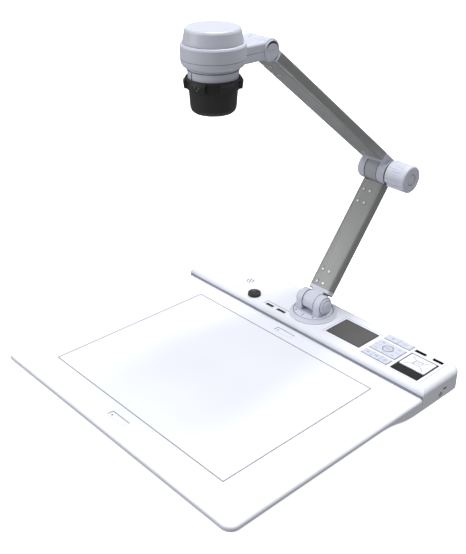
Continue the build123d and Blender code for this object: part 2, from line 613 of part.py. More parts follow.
def elbow_knob():
    knob = shaft(KNOB_START, KNOB_END, 0, 0, KNOB_R)
    knob = fillet(knob.faces().sort_by(Axis.X)[-1].edges(), KNOB_EDGE_R)
    for turn in range(KNOB_GROOVES):
        groove = Rot(360 / KNOB_GROOVES * turn, 0, 0) * Pos((KNOB_START + KNOB_END) / 2 - 3, 0, KNOB_R + 0.35)
        knob -= groove * Rot(0, 90, 0) * Cylinder(0.9, KNOB_END - KNOB_START - 8)
    dip = Rot(KNOB_DIP_TURN, 0, 0) * Pos((KNOB_START + KNOB_END) / 2 - 4, 0, KNOB_R + 5.6)
    knob -= dip * Rot(0, 90, 0) * Cylinder(7.5, 22)
    knob -= shaft(KNOB_START - 1, KNOB_END - 6, 0, 0, PIN_R + FIT)
    knob -= shaft(KNOB_END - 1.2, KNOB_END + 1, 0, 0, KNOB_CAP_R + KNOB_CAP_GAP)
    return upper_frame() * knob


def elbow_knob_cap():
    cap = shaft(KNOB_END - 1.2, KNOB_END - 0.2, 0, 0, KNOB_CAP_R)
    return upper_frame() * fillet(cap.faces().sort_by(Axis.X)[-1].edges(), 0.4)


def yoke_whole():
    """The ring round the camera with its neck and forked hinge, before it is split in two."""
    y, z = head_axis()
    ring = turned([(SLEEVE_R + FIT, RING_BOTTOM + 2), (NECK_R + 0.35, RING_BOTTOM + 2),
                   (NECK_R + 0.35, RING_BOTTOM), (28.8, RING_BOTTOM), (30.8, RING_BOTTOM + 1.2),
                   (32.0, RING_BOTTOM + 3.2), (RING_R - 0.3, z - 2.6), (RING_R, z), (RING_R, RING_TOP - 2.2), (RING_R - 0.9, RING_TOP - 0.6),
                   (RING_R - 2.0, RING_TOP), (SLEEVE_R + FIT, RING_TOP)], HEAD_Y)
    neck = block(-YOKE_HALF, YOKE_HALF, HEAD_Y + 20, y - 2, z - YOKE_H / 2, z + YOKE_H / 2)
    neck = fillet(neck.edges().filter_by(Axis.Y), 3.0)
    neck += fillet(shaft(-YOKE_HALF, YOKE_HALF, y, z, HEAD_HINGE_R).edges(), 0.8)
    neck -= post(0, HEAD_Y, z - 30, z + 30, SLEEVE_R + 1.5)
    slot = shaft(-KNUCKLE_HALF + 0.1, KNUCKLE_HALF - 0.1, y, z, HEAD_HINGE_R + 0.6)
    slot += block(-KNUCKLE_HALF + 0.1, KNUCKLE_HALF - 0.1, y, y + 20, z - 15, z + 15)
    whole = ring + neck - slot
    return whole - shaft(-30, 30, y, z, PIN_R - 1)


def yoke_half(upper):
    y, z = head_axis()
    low, high = (z + SPLIT_GAP, z + 60) if upper else (z - 60, z - SPLIT_GAP)
    keep = block(-60, 60, HEAD_Y - 60, y + 40, low, high)
    return yoke_whole() & keep


def yoke_upper_shell():
    return yoke_half(True)


def yoke_lower_shell():
    return yoke_half(False)


def head_hinge_pin():
    y, z = head_axis()
    return shaft(-YOKE_HALF + 0.3, YOKE_HALF - 0.3, y, z, PIN_R - 1)


def head_hinge_caps():
    y, z = head_axis()
    caps = []
    for side in (-1, 1):
        x0, x1 = sorted((side * YOKE_HALF, side * (YOKE_HALF + 1.5)))
        cap = shaft(x0, x1, y, z, 10.4)
        cap = fillet(cap.faces().sort_by(Axis.X)[-1 if side > 0 else 0].edges(), 0.6)
        face = side * (YOKE_HALF + 1.5)
        crescent = shaft(face - 0.8, face + 0.8, y, z + 1.0, 8.2) - shaft(face - 0.9, face + 0.9, y, z - 1.6, 8.6)
        caps.append(cap - crescent - block(face - 0.3, face + 0.3, y - 12, y + 12, z - 0.3, z + 0.3))
    return Compound(children=caps)


def head_cap():
    low = RING_TOP + 0.4
    points = [(0, HEAD_TOP - 2.4), (25.6, HEAD_TOP - 2.4), (26.4, low + 3), (25.0, low + 3), (25.0, low),
              (30.4, low), (30.2, low + 2.0), (28.2, HEAD_TOP - 2.6),
              (27.2, HEAD_TOP - 0.8), (26.0, HEAD_TOP), (0, HEAD_TOP)]
    return turned(points, HEAD_Y)


def head_barrel():
    points = [(24.0, NECK_BOTTOM), (NECK_R - 0.8, NECK_BOTTOM), (NECK_R, RING_BOTTOM + 2.3),
              (SLEEVE_R, RING_BOTTOM + 2.3), (SLEEVE_R, RING_TOP + 0.4), (25.0, RING_TOP + 0.4), (25.0, RING_TOP + 3.4),
              (23.0, RING_TOP + 3.4), (23.0, NECK_BOTTOM + 3), (24.0, NECK_BOTTOM + 3)]
    return turned(points, HEAD_Y)


def sensor_board():
    board = post(0, HEAD_Y, 398.0, 399.6, 22.6)
    return board + block(-7, 7, HEAD_Y - 7, HEAD_Y + 7, 396.4, 398.0)


def lens_barrel():
    points = [(13.5, 349.0), (17.0, 349.0), (17.0, 371.0), (22.6, 371.0), (22.6, 373.0), (17.0, 373.0),
              (17.0, 392.0), (13.5, 392.0)]
    return turned(points, HEAD_Y)


def front_lens():
    dome = turned([(0, 351.5), (13.3, 351.5), (13.3, 353.5), (0, 353.5)], HEAD_Y)
    return dome + turned([(0, 349.6), (5.0, 349.8), (9.0, 350.4), (12.6, 351.5), (0, 351.5)], HEAD_Y)


def focus_collar():
    ring = post(0, HEAD_Y, COLLAR_BOTTOM, COLLAR_TOP - 2.0, COLLAR_R) - post(0, HEAD_Y, 350, 380, 23.4)
    ring += turned([(NECK_R + 0.35, COLLAR_TOP - 2.0), (COLLAR_R + 1.2, COLLAR_TOP - 2.0),
                    (COLLAR_R + 1.0, COLLAR_TOP), (NECK_R + 0.35, COLLAR_TOP)], HEAD_Y)
    lobe_ring = turned([(COLLAR_R - 1, COLLAR_BOTTOM + 0.8), (LOBE_R - 0.8, COLLAR_BOTTOM + 0.8),
                        (LOBE_R, COLLAR_BOTTOM + 7.5), (LOBE_R - 2, COLLAR_TOP - 1), (COLLAR_R - 1, COLLAR_TOP - 2)],
                       HEAD_Y)
    for turn in range(6):
        wedge = Pos(0, HEAD_Y, 0) * Rot(0, 0, 47.1 + 60 * turn) * Pos(30, 0, 365) * Box(30, 16, 20)
        ring += lobe_ring & wedge
    for turn in range(-2, 3):
        rib = Pos(0, HEAD_Y, 0) * Rot(0, 0, -47.0 + 4.5 * turn) * Pos(COLLAR_R, 0, COLLAR_BOTTOM + 5.0)
        ring += rib * Box(1.2, 0.9, 8.4)
    return ring


def lens_hood():
    points = [(HOOD_TOP_R - 3.0, COLLAR_BOTTOM), (HOOD_TOP_R, COLLAR_BOTTOM), (HOOD_LOW_R + 0.3, HOOD_BOTTOM + 4.5),
              (HOOD_LOW_R - 0.9, HOOD_BOTTOM + 1.8), (HOOD_LOW_R - 3.0, HOOD_BOTTOM),
              (HOOD_LOW_R - 5.0, HOOD_BOTTOM), (HOOD_LOW_R - 3.6, HOOD_BOTTOM + 3.0)]
    return turned(points, HEAD_Y)


def dial_knob():
    knob = Pos(*DIAL, HOUSING_TOP + 0.3) * extrude(Circle(DIAL_R), DIAL_H, taper=4)
    knob = fillet(knob.faces().sort_by(Axis.Z)[-1].edges(), 0.6)
    for turn in range(30):
        notch = Pos(*DIAL, HOUSING_TOP + 2.0) * Rot(0, 0, 12 * turn) * Pos(DIAL_R, 0, 0)
        knob -= notch * Box(1.0, 0.6, 3.0)
    knob -= Pos(*DIAL, HOUSING_TOP + 0.3 + DIAL_H + 12.65) * Sphere(14.0)
    return knob + post(*DIAL, 22.0, HOUSING_TOP + 1, 3.3 - 0.1)


def key(x0, x1, y0, y1, r=1.0):
    body = pill(x0, x1, y0, y1, KEY_BOTTOM, KEY_TOP, r)
    return fillet(body.faces().sort_by(Axis.Z)[-1].edges(), 0.35)


def key_row(count, row):
    """Keys side by side over the keypad's width."""
    pitch = (PAD_X[1] - PAD_X[0] + KEY_GAP) / count
    keys = []
    for n in range(count):
        x0 = PAD_X[0] + n * pitch
        keys.append(key(x0, x0 + pitch - KEY_GAP, *row))
    return keys


def quadrant_keys():
    """Four keys round the round one."""
    cx = sum(PAD_X) / 2
    cy = sum(ROW_MIDDLE) / 2
    g = KEY_GAP / 2
    keys = []
    for x0, x1 in ((PAD_X[0], cx - g), (cx + g, PAD_X[1])):
        for y0, y1 in ((ROW_MIDDLE[0], cy - g), (cy + g, ROW_MIDDLE[1])):
            keys.append(key(x0, x1, y0, y1) - post(cx, cy, 20, 40, ROUND_KEY_R + 1.0))
    return keys


def round_key():
    body = post(sum(PAD_X) / 2, sum(ROW_MIDDLE) / 2, KEY_BOTTOM, KEY_TOP + 0.3, ROUND_KEY_R)
    return fillet(body.faces().sort_by(Axis.Z)[-1].edges(), 0.5)


def nav_pad():
    x0, x1, y0, y1 = NAV_PAD
    body = key(x0 + 0.3, x1 - 0.3, y0 + 0.3, y1 - 0.3, 1.2)
    cx, cy = (x0 + x1) / 2, (y0 + y1) / 2
    for sign in (-1, 1):
        line = Pos(cx, cy, KEY_TOP) * Rot(0, 0, sign * 37) * Box(34, 0.5, 0.3)
        body -= line
    nx0, nx1, ny0, ny1 = NAV_KEY
    return body - pill(nx0 - 0.5, nx1 + 0.5, ny0 - 0.5, ny1 + 0.5, 20, 40, 1.0)


def nav_key():
    x0, x1, y0, y1 = NAV_KEY
    return key(x0, x1, y0, y1, 0.8)


def save(name, shape):
    shape.label = name
    export_step(shape, f"parts/{name}.step")


os.makedirs("parts", exist_ok=True)
SINGLE_PIECES = (
    bottom_cover, stage_plate, rear_housing, ballast_plate, rubber_feet, case_screws, main_board, key_board,
    lcd_panel, lcd_window, key_bezel, nav_surround, front_ports, top_ports, rear_ports, dc_jack, lock_plate,
    speaker,
    swivel_ring, swivel_bearing, turntable, swivel_retainer, base_hinge_pin, base_hinge_caps, lower_arm_tube,
    lower_arm_root, lower_arm_knuckle, lower_arm_screws, elbow_fork, elbow_pin, elbow_cap, upper_arm_tube,
    upper_arm_tip, upper_arm_screws, elbow_knob, elbow_knob_cap, yoke_upper_shell, yoke_lower_shell,
    head_hinge_pin, head_hinge_caps, head_cap, head_barrel, sensor_board, lens_barrel, front_lens, focus_collar,
    lens_hood, dial_knob, round_key, nav_pad, nav_key,
)
for piece in SINGLE_PIECES:
    save(piece.__name__, piece())
for row_name, row_keys in (("back", key_row(2, ROW_BACK)), ("quad", quadrant_keys()), ("front", key_row(3, ROW_FRONT))):
    for number, one_key in enumerate(row_keys, 1):
        save(f"{row_name}_key_{number}", one_key)
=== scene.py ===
import math
import json

import bmesh
import bpy
from mathutils import Matrix, Vector


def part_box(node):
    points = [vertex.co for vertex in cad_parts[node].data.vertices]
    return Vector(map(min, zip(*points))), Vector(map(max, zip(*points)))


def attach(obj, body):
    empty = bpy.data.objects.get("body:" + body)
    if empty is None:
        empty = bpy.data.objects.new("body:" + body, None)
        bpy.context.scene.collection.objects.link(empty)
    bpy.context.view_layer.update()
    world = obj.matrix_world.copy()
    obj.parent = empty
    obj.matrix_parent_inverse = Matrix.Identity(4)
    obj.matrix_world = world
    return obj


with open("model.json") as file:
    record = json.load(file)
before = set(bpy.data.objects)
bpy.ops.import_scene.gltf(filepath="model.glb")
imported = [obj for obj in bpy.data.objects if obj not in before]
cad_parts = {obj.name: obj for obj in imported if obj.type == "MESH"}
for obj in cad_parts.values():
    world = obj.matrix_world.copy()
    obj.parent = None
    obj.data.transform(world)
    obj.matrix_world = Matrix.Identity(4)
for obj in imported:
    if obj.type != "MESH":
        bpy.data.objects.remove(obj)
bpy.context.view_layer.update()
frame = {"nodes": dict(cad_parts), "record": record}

# Desk document camera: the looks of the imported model. Metres, in the frame of the CAD.

MM = 0.001
QUARTER = math.radians(90)
PRINT_T = 0.06 * MM          # thickness of a printed mark
CLEAR = 0.01 * MM            # a mark starts this far inside the face that it lies on

# ---- camera ----
CAMERA_AT = Vector((0.63005, -0.6251, 0.6000))
CAMERA_AZIMUTH = math.radians(47.1)
CAMERA_ELEVATION = math.radians(28.5)
CAMERA_ROLL = math.radians(0.22)
CAMERA_LENS = 55.25

# ---- studio ----
SKY_UP, SKY_DOWN = 0.42, 0.30            # brightness above and below the horizon
SKY_FROM, SKY_TO = -0.25, 0.5            # the directions' heights where one turns into the other
FLOOR_HALF = 6.0
WALL_R, WALL_H, WALL_SIDES = 5.9, 12.0, 64
FLOOR_GLOW, WALL_GLOW = 0.75, 0.8
SIDE_LIGHT = ((-0.9, -1.7, 0.9), (0, 0, 0.25), 1.0, 13)        # place, aim, size and power
TOP_LIGHT = ((0.0, 0.9, 5.0), (0, 0, 0), 2.4, 236)

# ---- the arms' directions, from +Y through +Z ----
LOWER_ANGLE = math.radians(52.3)
UPPER_ANGLE = math.radians(141.1)
LOWER_FACE = 2.48            # front face of the lower arm, out of its hinge axis, in millimetres
UPPER_FACE = -4.9            # under face of the upper arm, out of the elbow axis
LOWER_SCREWS = ((-7.7, 2.4), (25.5, 42.6, 142.5, 159.4))        # across the arm, and along it
UPPER_SCREWS = ((-13.9, -3.2), (22.0, 40.0, 240.7, 258.5))
SCREW_HEAD_R = 2.1

# ---- hinges, in millimetres: a thin dark ring on both sides of each middle knuckle paints the shade between the knuckles ----
KNUCKLE_HALF = 9.4
SHADE_RING_T = 0.42
SHADE_RING_GAP = 0.04
SHADE_RING_BORE = 4.2
FINE = 96                    # sides of a round piece that shows its edge
VERY_FINE = 128
NOISE_DETAIL = 3.0           # octaves of every noise

scene = bpy.context.scene


def joint_place(name):
    """The middle of a joint of the part."""
    return Vector(next(j["pos_m"] for j in frame["record"]["behaviour"]["joints"] if j["name"] == name))


HINGE = joint_place("lower_arm_tilt")
ELBOW = joint_place("elbow")
HEAD_HINGE = joint_place("head_tilt")
LENS_AXIS = joint_place("camera_turn")


# ---- camera, lights and floor ----

def make_camera():
    """The camera's own axes from its azimuth and elevation, then a small roll."""
    flat = Vector((math.sin(CAMERA_AZIMUTH), -math.cos(CAMERA_AZIMUTH), 0))
    back = flat * math.cos(CAMERA_ELEVATION) + Vector((0, 0, math.sin(CAMERA_ELEVATION)))
    right = Vector((math.cos(CAMERA_AZIMUTH), math.sin(CAMERA_AZIMUTH), 0))
    level = Matrix((right, back.cross(right), back)).transposed()
    data = bpy.data.cameras.new("camera")
    data.lens = CAMERA_LENS
    data.clip_start = 0.01
    camera = bpy.data.objects.new("camera", data)
    rolled = (level @ Matrix.Rotation(CAMERA_ROLL, 3, "Z")).to_4x4()
    camera.matrix_world = Matrix.Translation(CAMERA_AT) @ rolled
    scene.collection.objects.link(camera)
    scene.camera = camera


def area_light(name, at, aim, size, power):
    """A square light at one point, turned towards another."""
    data = bpy.data.lights.new(name, "AREA")
    data.size = size
    data.energy = power
    light = bpy.data.objects.new(name, data)
    light.location = at
    light.rotation_euler = (Vector(aim) - Vector(at)).to_track_quat("-Z", "Y").to_euler()
    scene.collection.objects.link(light)


def make_world():
    """An even studio sky: brighter above the horizon than below it."""
    world = bpy.data.worlds.new("studio")
    world.use_nodes = True
    nodes, links = world.node_tree.nodes, world.node_tree.links
    place = nodes.new("ShaderNodeTexCoord")
    split = nodes.new("ShaderNodeSeparateXYZ")
    ramp = nodes.new("ShaderNodeValToRGB")
    lift = nodes.new("ShaderNodeMapRange")
    links.new(place.outputs["Generated"], split.inputs[0])
    lift.inputs["From Min"].default_value = SKY_FROM
    lift.inputs["From Max"].default_value = SKY_TO
    links.new(split.outputs["Z"], lift.inputs["Value"])
    links.new(lift.outputs["Result"], ramp.inputs["Fac"])
    ramp.color_ramp.elements[0].color = (SKY_DOWN, SKY_DOWN, SKY_DOWN, 1)
    ramp.color_ramp.elements[1].color = (SKY_UP, SKY_UP, SKY_UP, 1)
    links.new(ramp.outputs["Color"], nodes["Background"].inputs["Color"])
    scene.world = world


def studio_paper(name, points, faces, glow):
    """A sheet of pale paper that neither shows in the part's gloss nor lights the part."""
    mesh = bpy.data.meshes.new(name)
    mesh.from_pydata(points, [], faces)
    sheet = bpy.data.objects.new(name, mesh)
    scene.collection.objects.link(sheet)
    sheet.visible_diffuse = False
    sheet.visible_glossy = False
    mat = plain(name + "_paper", (0.93, 0.93, 0.93), 0.9)
    shader = mat.node_tree.nodes["Principled BSDF"].inputs
    shader["Emission Color"].default_value = (1, 1, 1, 1)
    shader["Emission Strength"].default_value = glow
    mottle(mat, (0.91, 0.91, 0.91), (0.95, 0.95, 0.95), 3.0)
    mesh.materials.append(mat)
    return sheet


def make_floor():
    """The flat sheet that the part stands on."""
    corners = [(x, y, 0) for x, y in rectangle(-FLOOR_HALF, FLOOR_HALF, -FLOOR_HALF, FLOOR_HALF)]
    floor = studio_paper("floor", corners, [(0, 1, 2, 3)], FLOOR_GLOW)


def make_backdrop():
    """A round white paper wall far behind the floor, seen only by the camera."""
    points = [(x, y, z) for z in (0, WALL_H) for x, y in circle(0, 0, WALL_R, WALL_SIDES)]
    faces = [(i, (i + 1) % WALL_SIDES, WALL_SIDES + (i + 1) % WALL_SIDES, WALL_SIDES + i)
             for i in range(WALL_SIDES)]
    wall = studio_paper("backdrop", points, faces, WALL_GLOW)
    wall.visible_shadow = False


# ---- materials ----

def plain(name, color, roughness, metallic=0.0, specular=0.5, coat=0.0):
    """A material with only its even values; the finishes below add their noise."""
    mat = bpy.data.materials.new(name)
    mat.use_nodes = True
    shader = mat.node_tree.nodes["Principled BSDF"].inputs
    shader["Base Color"].default_value = (*color, 1)
    shader["Roughness"].default_value = roughness
    shader["Metallic"].default_value = metallic
    shader["Specular IOR Level"].default_value = specular
    shader["Coat Weight"].default_value = coat
    mat.diffuse_color = (*color, 1)
    return mat


def noise(mat, scale, stretch=(1, 1, 1), turn=0.0):
    """Noise over the piece's own coordinates, turned about X and then stretched along its axes."""
    nodes, links = mat.node_tree.nodes, mat.node_tree.links
    place = nodes.new("ShaderNodeTexCoord")
    spin = nodes.new("ShaderNodeMapping")
    spin.inputs["Rotation"].default_value = (-turn, 0, 0)
    fit = nodes.new("ShaderNodeMapping")
    fit.inputs["Scale"].default_value = stretch
    texture = nodes.new("ShaderNodeTexNoise")
    texture.inputs["Scale"].default_value = scale
    texture.inputs["Detail"].default_value = NOISE_DETAIL
    links.new(place.outputs["Object"], spin.inputs["Vector"])
    links.new(spin.outputs["Vector"], fit.inputs["Vector"])
    links.new(fit.outputs["Vector"], texture.inputs["Vector"])
    return texture.outputs["Fac"]


def blend(mat, fac, low, high):
    """A colour that goes from low to high with fac; low may be another node's output."""
    links = mat.node_tree.links
    mix = mat.node_tree.nodes.new("ShaderNodeMix")
    mix.data_type = "RGBA"
    first, second = [socket for socket in mix.inputs if socket.type == "RGBA"]
    if isinstance(low, bpy.types.NodeSocket):
        links.new(low, first)
    else:
        first.default_value = (*low, 1)
    second.default_value = (*high, 1)
    links.new(fac, mix.inputs["Factor"])
    return next(socket for socket in mix.outputs if socket.type == "RGBA")


def spread(mat, fac, low, high):
    """A number that goes from low to high with fac."""
    step = mat.node_tree.nodes.new("ShaderNodeMapRange")
    step.inputs["From Min"].default_value = 0.3
    step.inputs["From Max"].default_value = 0.7
    step.inputs["To Min"].default_value = low
    step.inputs["To Max"].default_value = high
    mat.node_tree.links.new(fac, step.inputs["Value"])
    return step.outputs["Result"]


def feed(mat, output, name):
    """Link a node's output to one of the shader's sockets."""
    mat.node_tree.links.new(output, mat.node_tree.nodes["Principled BSDF"].inputs[name])


def mottle(mat, low, high, scale, **shape):
    """Base colour that drifts between two tones."""
    feed(mat, blend(mat, spread(mat, noise(mat, scale, **shape), 0, 1), low, high), "Base Color")


def vary_roughness(mat, low, high, scale, **shape):
    """Roughness that drifts between two values."""
    feed(mat, spread(mat, noise(mat, scale, **shape), low, high), "Roughness")


def grain(mat, scale, depth, **shape):
    """Fine surface relief of a depth in metres."""
    bump = mat.node_tree.nodes.new("ShaderNodeBump")
    bump.inputs["Strength"].default_value = 0.6
    bump.inputs["Distance"].default_value = depth
    mat.node_tree.links.new(noise(mat, scale, **shape), bump.inputs["Height"])
    feed(mat, bump.outputs["Normal"], "Normal")


def moulded(name, color, roughness, grain_scale, depth, tone=0.03, coat=0.0, specular=0.5):
    """Moulded plastic: spark-eroded grain, slightly uneven gloss, and a slow drift of its tone."""
    mat = plain(name, color, roughness, specular=specular, coat=coat)
    mat.node_tree.nodes["Principled BSDF"].inputs["Coat Roughness"].default_value = 0.25
    mottle(mat, [c * (1 - tone) for c in color], [min(1.0, c * (1 + tone)) for c in color], 14.0)
    vary_roughness(mat, roughness - 0.05, roughness + 0.06, 60.0)
    grain(mat, grain_scale, depth)
    return mat


def extruded(name, turn):
    """Anodised aluminium with its die lines along the arm."""
    mat = plain(name, (0.34, 0.345, 0.345), 0.42, metallic=0.6)
    lines = dict(stretch=(1, 0.01, 1), turn=turn)
    mottle(mat, (0.315, 0.32, 0.318), (0.365, 0.372, 0.37), 900.0, **lines)
    vary_roughness(mat, 0.36, 0.50, 700.0, **lines)
    grain(mat, 1600.0, 0.02 * MM, **lines)
    return mat


def turned_metal(name, color, roughness):
    """Machined metal with a slightly uneven tone and gloss."""
    mat = plain(name, color, roughness, metallic=1.0)
    mottle(mat, [c * 0.92 for c in color], color, 120.0)
    vary_roughness(mat, roughness * 0.8, roughness * 1.25, 500.0)
    grain(mat, 2500.0, 0.01 * MM)
    return mat


def screen_face(low, high):
    """A switched-off display: dark grey, with its black mask round the edge."""
    mask_width = 1.3 * MM
    mat = plain("screen_glass", (0.09, 0.09, 0.093), 0.30)
    nodes, links = mat.node_tree.nodes, mat.node_tree.links
    middle = (low + high) / 2
    reach = (high - low) / 2 - Vector((mask_width, mask_width, 0))
    place = nodes.new("ShaderNodeTexCoord")
    shift = nodes.new("ShaderNodeVectorMath")
    shift.operation = "SUBTRACT"
    shift.inputs[1].default_value = middle
    size = nodes.new("ShaderNodeVectorMath")
    size.operation = "ABSOLUTE"
    links.new(place.outputs["Object"], shift.inputs[0])
    links.new(shift.outputs[0], size.inputs[0])
    split = nodes.new("ShaderNodeSeparateXYZ")
    links.new(size.outputs[0], split.inputs[0])
    outside = []
    for axis, limit in (("X", reach.x), ("Y", reach.y)):
        test = nodes.new("ShaderNodeMath")
        test.operation = "GREATER_THAN"
        test.inputs[1].default_value = limit
        links.new(split.outputs[axis], test.inputs[0])
        outside.append(test.outputs[0])
    either = nodes.new("ShaderNodeMath")
    either.operation = "MAXIMUM"
    links.new(outside[0], either.inputs[0])
    links.new(outside[1], either.inputs[1])
    face = blend(mat, noise(mat, 60.0), (0.090, 0.090, 0.093), (0.098, 0.098, 0.101))
    feed(mat, blend(mat, either.outputs[0], face, (0.02, 0.02, 0.022)), "Base Color")
    vary_roughness(mat, 0.28, 0.34, 50.0)
    return mat


def coated_glass():
    """The front lens, with the violet tint of its coating."""
    mat = plain("lens_glass", (0.03, 0.02, 0.06), 0.06, specular=0.8, coat=1.0)
    mottle(mat, (0.02, 0.02, 0.07), (0.06, 0.02, 0.06), 90.0)
    vary_roughness(mat, 0.04, 0.09, 200.0)
    return mat


CASE = moulded("case_white", (0.80, 0.82, 0.90), 0.42, 1800.0, 0.02 * MM, tone=0.012, coat=0.15)
HEAD = moulded("head_white", (0.64, 0.66, 0.76), 0.42, 1800.0, 0.02 * MM, tone=0.015, coat=0.15)
# The elbow fork's grey: the case's white made about a third darker, painting the shade that falls on the
# fork.
FORK_SHADED_GREY = moulded("fork_shaded_grey", (0.52, 0.535, 0.61), 0.45, 1800.0, 0.02 * MM, tone=0.02)
CAST = moulded("knuckle_grey", (0.36, 0.365, 0.39), 0.48, 1400.0, 0.04 * MM, tone=0.04)
KEYS = moulded("key_white", (0.58, 0.61, 0.72), 0.5, 2600.0, 0.015 * MM)
# Black plastic; the same black also paints the shade in hinge gaps, grooves, holes and slots.
BLACK = moulded("black_plastic", (0.016, 0.016, 0.017), 0.5, 1400.0, 0.05 * MM, tone=0.15)
NAVY_BLACK = moulded("panel_black", (0.012, 0.012, 0.013), 0.6, 2200.0, 0.03 * MM, tone=0.15, specular=0.25)
RUBBER = moulded("foot_rubber", (0.03, 0.03, 0.03), 0.85, 900.0, 0.08 * MM, tone=0.2)
BOARD = moulded("circuit_board", (0.02, 0.11, 0.05), 0.4, 600.0, 0.05 * MM, tone=0.35)
# Dark grey that paints the shade in gaps, seams, recesses and slots, and also prints small marks.
SEAM_SHADE_AND_PRINT = moulded("seam_shadow", (0.045, 0.045, 0.052), 0.8, 900.0, 0.02 * MM, tone=0.1)
# Grey of the strip that paints the shade at the foot of the step between the stage and the rear housing.
STEP_SHADE = moulded("step_shade_grey", (0.27, 0.28, 0.32), 0.6, 1200.0, 0.02 * MM, tone=0.05)
# Grey for printed lines, and also for painted shade along grooves and gaps.
LINE = moulded("line_grey", (0.12, 0.125, 0.15), 0.7, 1200.0, 0.02 * MM, tone=0.1)
PRINT = moulded("print_grey", (0.16, 0.165, 0.20), 0.6, 1500.0, 0.01 * MM, tone=0.1)
# Pale grey for faint prints, and also for painted shade in the grooves round the screen.
FAINT_PRINT_AND_SHADE = moulded("print_and_shade_faint", (0.38, 0.39, 0.46), 0.6, 1500.0, 0.01 * MM, tone=0.05)
LOWER_METAL = extruded("lower_arm_metal", LOWER_ANGLE)
UPPER_METAL = extruded("upper_arm_metal", UPPER_ANGLE)
STEEL = turned_metal("steel", (0.60, 0.60, 0.61), 0.35)
SCREW = turned_metal("bright_screw", (0.74, 0.74, 0.78), 0.40)
# The upper arm's screws: a plain light grey in place of metal, painting the glint of their heads.
SCREW_GLINT_GREY = moulded("screw_glint_grey", (0.62, 0.62, 0.65), 0.4, 1800.0, 0.01 * MM)
# The ports' metal made near-black, painting the shade inside the ports.
PORT_SHADE_BLACK = turned_metal("port_metal", (0.03, 0.03, 0.032), 0.6)
SOCKET = turned_metal("socket_metal", (0.30, 0.30, 0.31), 0.5)
JACK = moulded("jack_grey", (0.42, 0.42, 0.42), 0.55, 1500.0, 0.02 * MM)
BRASS = turned_metal("bearing_brass", (0.72, 0.55, 0.27), 0.3)
SCREEN = screen_face(*[Vector(corner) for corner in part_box("lcd_window")])
LENS = coated_glass()

BY_SLOT = {
    "shell_white": CASE, "head_white": HEAD, "key_white": KEYS, "black_plastic": BLACK, "steel": STEEL,
    "bright_screw": SCREW, "port_metal": PORT_SHADE_BLACK, "bearing_brass": BRASS, "circuit_board": BOARD,
    "screen_glass": SCREEN, "lens_glass": LENS, "foot_rubber": RUBBER,
}
BY_NODE = {
    "lower_arm_tube": LOWER_METAL, "upper_arm_tube": UPPER_METAL, "nav_surround": NAVY_BLACK, "nav_pad": CASE,
    # the elbow pin is black so that the groove between the elbow and its knob reads dark: painted shade
    "nav_key": CASE, "lower_arm_knuckle": CAST, "elbow_fork": FORK_SHADED_GREY, "elbow_pin": BLACK,
    "upper_arm_screws": SCREW_GLINT_GREY, "front_ports": SOCKET, "dc_jack": JACK,
}


def dress_nodes():
    """Give every CAD node its material."""
    for part in frame["record"]["subparts"]:
        node = part["node"]
        obj = frame["nodes"][node]
        mat = BY_NODE.get(node) or BY_SLOT[part["material_slot"]]
        obj.data.materials.clear()
        obj.data.materials.append(mat)


# ---- small pieces ----

def piece(name, fill, body, mat, smooth=False):
    """A new mesh piece on a body, from a function that fills a bmesh."""
    form = bmesh.new()
    fill(form)
    bmesh.ops.recalc_face_normals(form, faces=form.faces)
    mesh = bpy.data.meshes.new(name)
    form.to_mesh(mesh)
    form.free()
    for face in mesh.polygons:
        face.use_smooth = smooth
    obj = bpy.data.objects.new(name, mesh)
    scene.collection.objects.link(obj)
    mesh.materials.append(mat)
    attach(obj, body)


def prism(form, outline, low, high, place=Matrix()):
    """A closed solid on an outline of (x, y) points."""
    rings = [[form.verts.new(place @ Vector((x, y, z))) for x, y in outline] for z in (low, high)]
    form.faces.new(rings[0][::-1])
    form.faces.new(rings[1])
    count = len(outline)
    for i in range(count):
        j = (i + 1) % count
        form.faces.new((rings[0][i], rings[0][j], rings[1][j], rings[1][i]))


def hollow_prism(form, outer, inner, low, high, place=Matrix()):
    """A closed frame between two outlines that have as many points."""
    loops = [[form.verts.new(place @ Vector((x, y, z))) for x, y in line]
             for line, z in ((outer, low), (outer, high), (inner, high), (inner, low))]
    count = len(outer)
    for k in range(4):
        one, two = loops[k], loops[(k + 1) % 4]
        for i in range(count):
            j = (i + 1) % count
            form.faces.new((one[i], one[j], two[j], two[i]))


def rectangle(x0, x1, y0, y1):
    """An outline from its left, right, front and back limits."""
    return [(x0, y0), (x1, y0), (x1, y1), (x0, y1)]


def circle(x, y, r, count=32, start=0.0):
    """A round outline of count points."""
    turns = [start + 2 * math.pi * i / count for i in range(count)]
    return [(x + r * math.cos(a), y + r * math.sin(a)) for a in turns]


def torus(form, middle, major, minor, across=10):
    """A ring about a vertical line."""
    around = FINE
    rows = []
    for i in range(around):
        a = 2 * math.pi * i / around
        out = Vector((math.cos(a), math.sin(a), 0))
        row = []
        for k in range(across):
            b = 2 * math.pi * k / across
            row.append(form.verts.new(middle + out * (major + minor * math.cos(b))
                                      + Vector((0, 0, minor * math.sin(b)))))
        rows.append(row)
    for i in range(around):
        for k in range(across):
            j, m = (i + 1) % around, (k + 1) % across
            form.faces.new((rows[i][k], rows[j][k], rows[j][m], rows[i][m]))


# ---- printed marks: each is a list of (shape, numbers) in millimetres about a key's middle ----
# Each starts with the x and y of its own middle. Then a bar has its width, height and turn in degrees,
# a disc its radius, a ring its radius and line width, an arrow its radius and turn, and a frame its
# width, height and line width.

